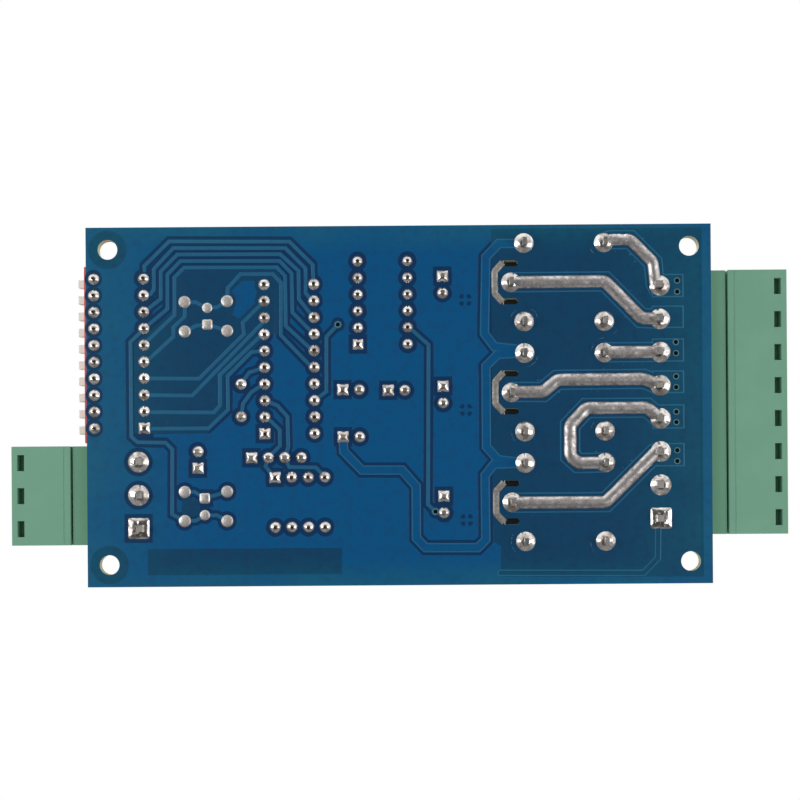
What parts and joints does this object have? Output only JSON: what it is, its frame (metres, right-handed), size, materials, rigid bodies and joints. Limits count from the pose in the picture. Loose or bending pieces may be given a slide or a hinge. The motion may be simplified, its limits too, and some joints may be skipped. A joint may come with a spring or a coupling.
{
  "type": "relay module board",
  "caption": "Relay control board with plug-in terminal blocks, side-lever address switch and a wave-soldered underside with tinned power tracks.",
  "frame": {"origin": "middle of the four corner mounting holes, on the board's solder face", "axes": "+X along the board towards the eight-way terminals, +Z from the solder side to the component side, +Y across the board so that the frame is right-handed"},
  "size_m": [0.1194, 0.055, 0.0189],
  "materials": {
    "board_blue": "blue solder mask over glass-epoxy, satin",
    "masked_copper": "copper under blue solder mask, satin",
    "tinned_copper": "copper tinned with uneven solder, matt grey",
    "solder": "bright wave solder",
    "lead_metal": "tinned lead wire, satin",
    "terminal_green": "moulded green, fine satin",
    "clamp_metal": "nickel-plated pressing",
    "screw_metal": "zinc-plated steel",
    "relay_blue": "moulded blue, satin",
    "relay_base": "moulded black",
    "switch_red": "moulded red, satin",
    "lever_white": "moulded off-white",
    "chip_black": "moulded epoxy, matt",
    "can_steel": "drawn steel can",
    "strip_black": "moulded black",
    "capacitor_sleeve": "shrunk sleeve",
    "led_red": "tinted clear epoxy",
    "led_green": "tinted clear epoxy",
    "resistor_black": "glazed black",
    "ceramic_tan": "fired ceramic"
  },
  "bodies": {
    "board": {"circuit_board": "board_blue", "signal_tracks": "masked_copper", "power_tracks": "tinned_copper", "guard_strips": "tinned_copper", "small_solder_joints": "solder", "power_solder_joints": "solder", "filled_pads": "solder", "relay_1_case": "relay_blue", "relay_2_case": "relay_blue", "relay_3_case": "relay_blue", "relay_bases": "relay_base", "relay_pins": "lead_metal", "input_header": "terminal_green", "input_header_pins": "lead_metal", "output_header": "terminal_green", "output_header_pins": "lead_metal", "switch_case": "switch_red", "switch_pins": "lead_metal", "controller_body": "chip_black", "controller_legs": "lead_metal", "transceiver_body": "chip_black", "transceiver_legs": "lead_metal", "coupler_1": "chip_black", "coupler_2": "chip_black", "coupler_3": "chip_black", "coupler_legs": "lead_metal", "crystal_can": "can_steel", "crystal_leads": "lead_metal", "program_header": "strip_black", "program_header_pins": "lead_metal", "termination_header": "strip_black", "termination_pins": "lead_metal", "supply_capacitor": "capacitor_sleeve", "filter_capacitor": "capacitor_sleeve", "capacitor_leads": "lead_metal", "relay_leds": "led_red", "status_led": "led_green", "led_leads": "lead_metal", "driver_transistors": "chip_black", "flyback_diodes": "chip_black", "chip_resistors": "resistor_black", "regulator": "chip_black", "chip_capacitors": "ceramic_tan"},
    "input_plug": {"input_plug": "terminal_green", "input_clamps": "clamp_metal", "input_screws": "screw_metal"},
    "output_plug": {"output_plug": "terminal_green", "output_clamps": "clamp_metal", "output_screws": "screw_metal"},
    "lever_01": {"lever_01": "lever_white"},
    "lever_02": {"lever_02": "lever_white"},
    "lever_03": {"lever_03": "lever_white"},
    "lever_04": {"lever_04": "lever_white"},
    "lever_05": {"lever_05": "lever_white"},
    "lever_06": {"lever_06": "lever_white"},
    "lever_07": {"lever_07": "lever_white"},
    "lever_08": {"lever_08": "lever_white"},
    "lever_09": {"lever_09": "lever_white"},
    "lever_10": {"lever_10": "lever_white"}
  },
  "joints": [
    {"name": "input_plug_pull", "type": "slide", "parent": "board", "child": "input_plug", "axis": [-1, 0, 0], "range_m": [0, 0.012]},
    {"name": "output_plug_pull", "type": "slide", "parent": "board", "child": "output_plug", "axis": [1, 0, 0], "range_m": [0, 0.012]},
    {"name": "lever_01_rock", "type": "hinge", "parent": "board", "child": "lever_01", "pos_m": [-0.04497, -0.01966, 0.0047], "axis": [0, -1, 0], "range_deg": [0, 18]},
    {"name": "lever_02_rock", "type": "hinge", "parent": "board", "child": "lever_02", "pos_m": [-0.04497, -0.01712, 0.0047], "axis": [0, -1, 0], "range_deg": [0, 18]},
    {"name": "lever_03_rock", "type": "hinge", "parent": "board", "child": "lever_03", "pos_m": [-0.04497, -0.01458, 0.0047], "axis": [0, -1, 0], "range_deg": [0, 18]},
    {"name": "lever_04_rock", "type": "hinge", "parent": "board", "child": "lever_04", "pos_m": [-0.04497, -0.01204, 0.0047], "axis": [0, -1, 0], "range_deg": [0, 18]},
    {"name": "lever_05_rock", "type": "hinge", "parent": "board", "child": "lever_05", "pos_m": [-0.04497, -0.0095, 0.0047], "axis": [0, -1, 0], "range_deg": [0, 18]},
    {"name": "lever_06_rock", "type": "hinge", "parent": "board", "child": "lever_06", "pos_m": [-0.04497, -0.00696, 0.0047], "axis": [0, -1, 0], "range_deg": [0, 18]},
    {"name": "lever_07_rock", "type": "hinge", "parent": "board", "child": "lever_07", "pos_m": [-0.04497, -0.00442, 0.0047], "axis": [0, -1, 0], "range_deg": [0, 18]},
    {"name": "lever_08_rock", "type": "hinge", "parent": "board", "child": "lever_08", "pos_m": [-0.04497, -0.00188, 0.0047], "axis": [0, -1, 0], "range_deg": [0, 18]},
    {"name": "lever_09_rock", "type": "hinge", "parent": "board", "child": "lever_09", "pos_m": [-0.04497, 0.00066, 0.0047], "axis": [0, -1, 0], "range_deg": [0, 18]},
    {"name": "lever_10_rock", "type": "hinge", "parent": "board", "child": "lever_10", "pos_m": [-0.04497, 0.0032, 0.0047], "axis": [0, -1, 0], "range_deg": [0, 18]}
  ]
}
